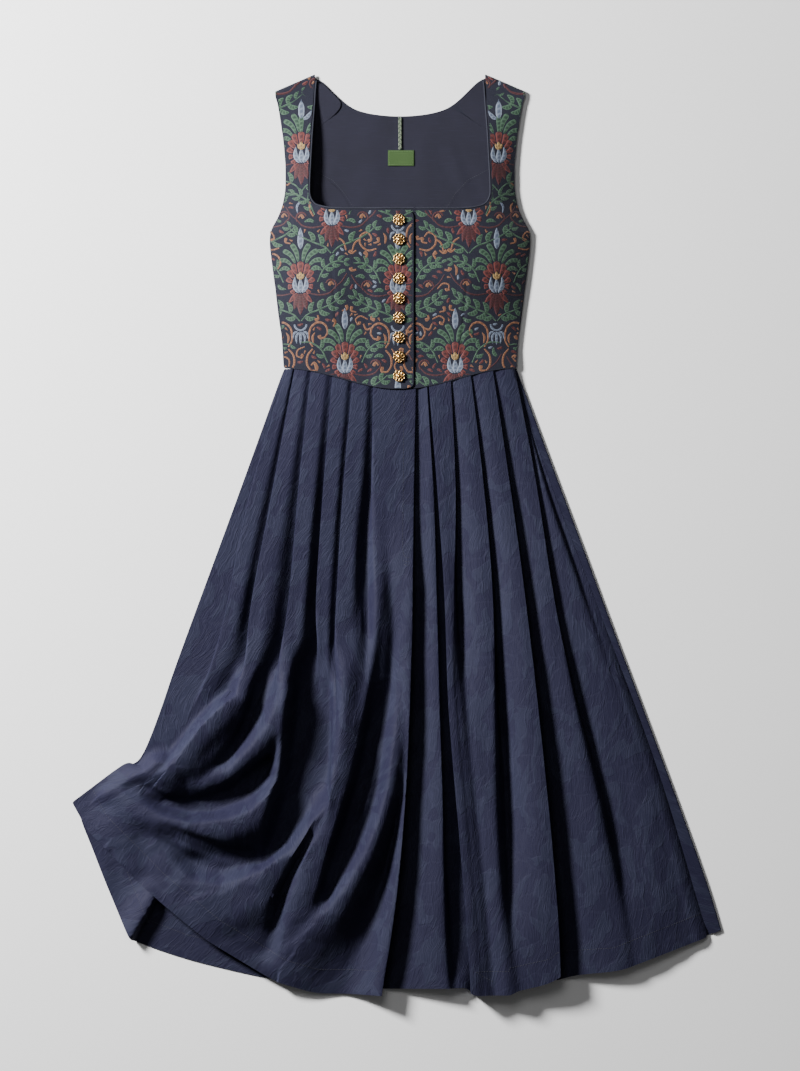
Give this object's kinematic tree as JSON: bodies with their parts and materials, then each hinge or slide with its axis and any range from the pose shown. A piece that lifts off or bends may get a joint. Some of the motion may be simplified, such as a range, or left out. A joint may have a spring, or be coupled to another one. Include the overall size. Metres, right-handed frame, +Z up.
{
  "type": "dirndl",
  "caption": "Sleeveless dirndl with a floral jacquard bodice, nine gold filigree buttons and a pleated navy skirt, laid out flat on its back.",
  "frame": {"origin": "on the underside of the back skirt, under the point of the front waist, 29 mm below the back waist", "axes": "+X to the wearer's left, +Y up the garment to the neck, +Z up off the surface that it lies on"},
  "size_m": [0.9087, 1.2881, 0.0354],
  "materials": {
    "skirt": "tone-on-tone damask, matt",
    "jacquard": "woven flowers in red, green, gold and blue-grey",
    "lining": "plain, fine weave",
    "button": "antique gold filigree",
    "label": "woven",
    "braid": "twisted two-strand cord"
  },
  "bodies": {
    "root": {"bodice_front_right": "jacquard", "bodice_front_left": "jacquard", "bodice_back": "jacquard", "lining_back_centre": "lining", "lining_side_right": "lining", "lining_side_left": "lining", "lining_strap_right": "lining", "lining_strap_left": "lining", "neck_piping_right": "lining", "neck_piping_left": "lining", "skirt_front_right": "skirt", "skirt_front_left": "skirt", "skirt_back": "skirt", "button_1": "button", "button_2": "button", "button_3": "button", "button_4": "button", "button_5": "button", "button_6": "button", "button_7": "button", "button_8": "button", "button_9": "button", "label": "label", "neck_braid": "braid"}
  },
  "joints": []
}
